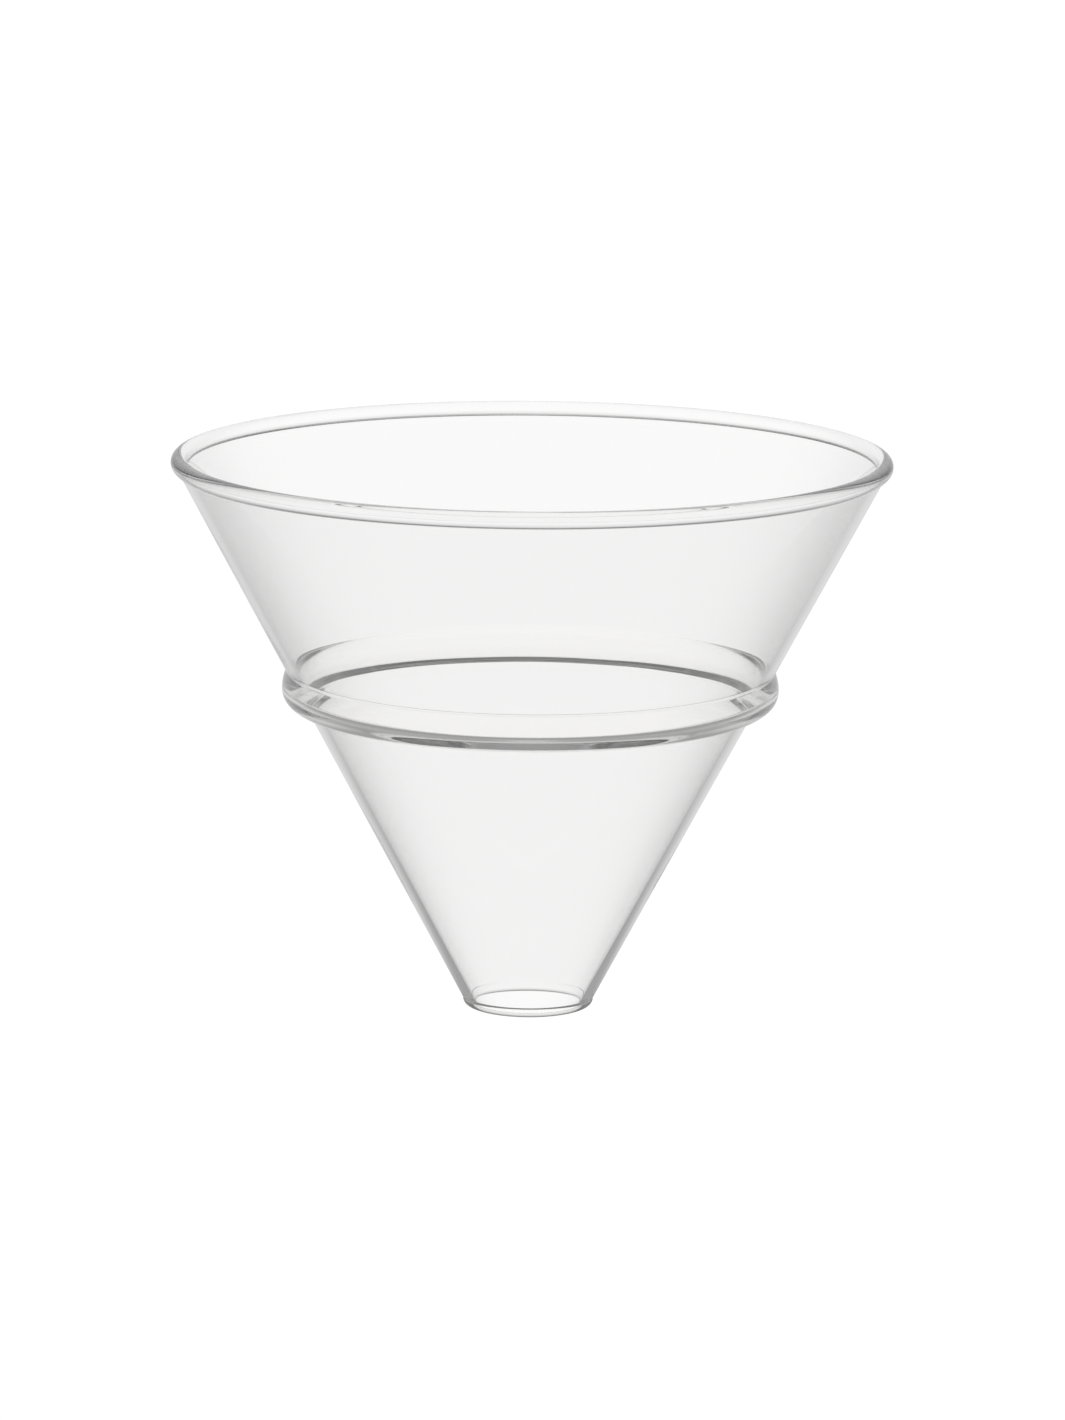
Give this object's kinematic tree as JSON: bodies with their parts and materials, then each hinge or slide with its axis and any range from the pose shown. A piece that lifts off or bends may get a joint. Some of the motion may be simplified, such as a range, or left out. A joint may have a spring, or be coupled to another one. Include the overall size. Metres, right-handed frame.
{
  "type": "pour over dripper",
  "caption": "Conical glass coffee dripper: an open funnel with a rolled rim, a support ring that rests on a server's mouth, and a plain outlet.",
  "frame": {"origin": "on the cone's axis, in the plane that the outlet lip stands on", "axes": "+Z along the cone's axis, up to the mouth; the part is the same all round, so +X and +Y are free"},
  "size_m": [0.13, 0.13, 0.1019],
  "materials": {
    "clear_glass": "fire-polished clear borosilicate glass"
  },
  "bodies": {
    "root": {"rim_bead": "clear_glass", "upper_cone": "clear_glass", "support_ring": "clear_glass", "lower_cone": "clear_glass", "outlet_lip": "clear_glass"}
  },
  "joints": []
}
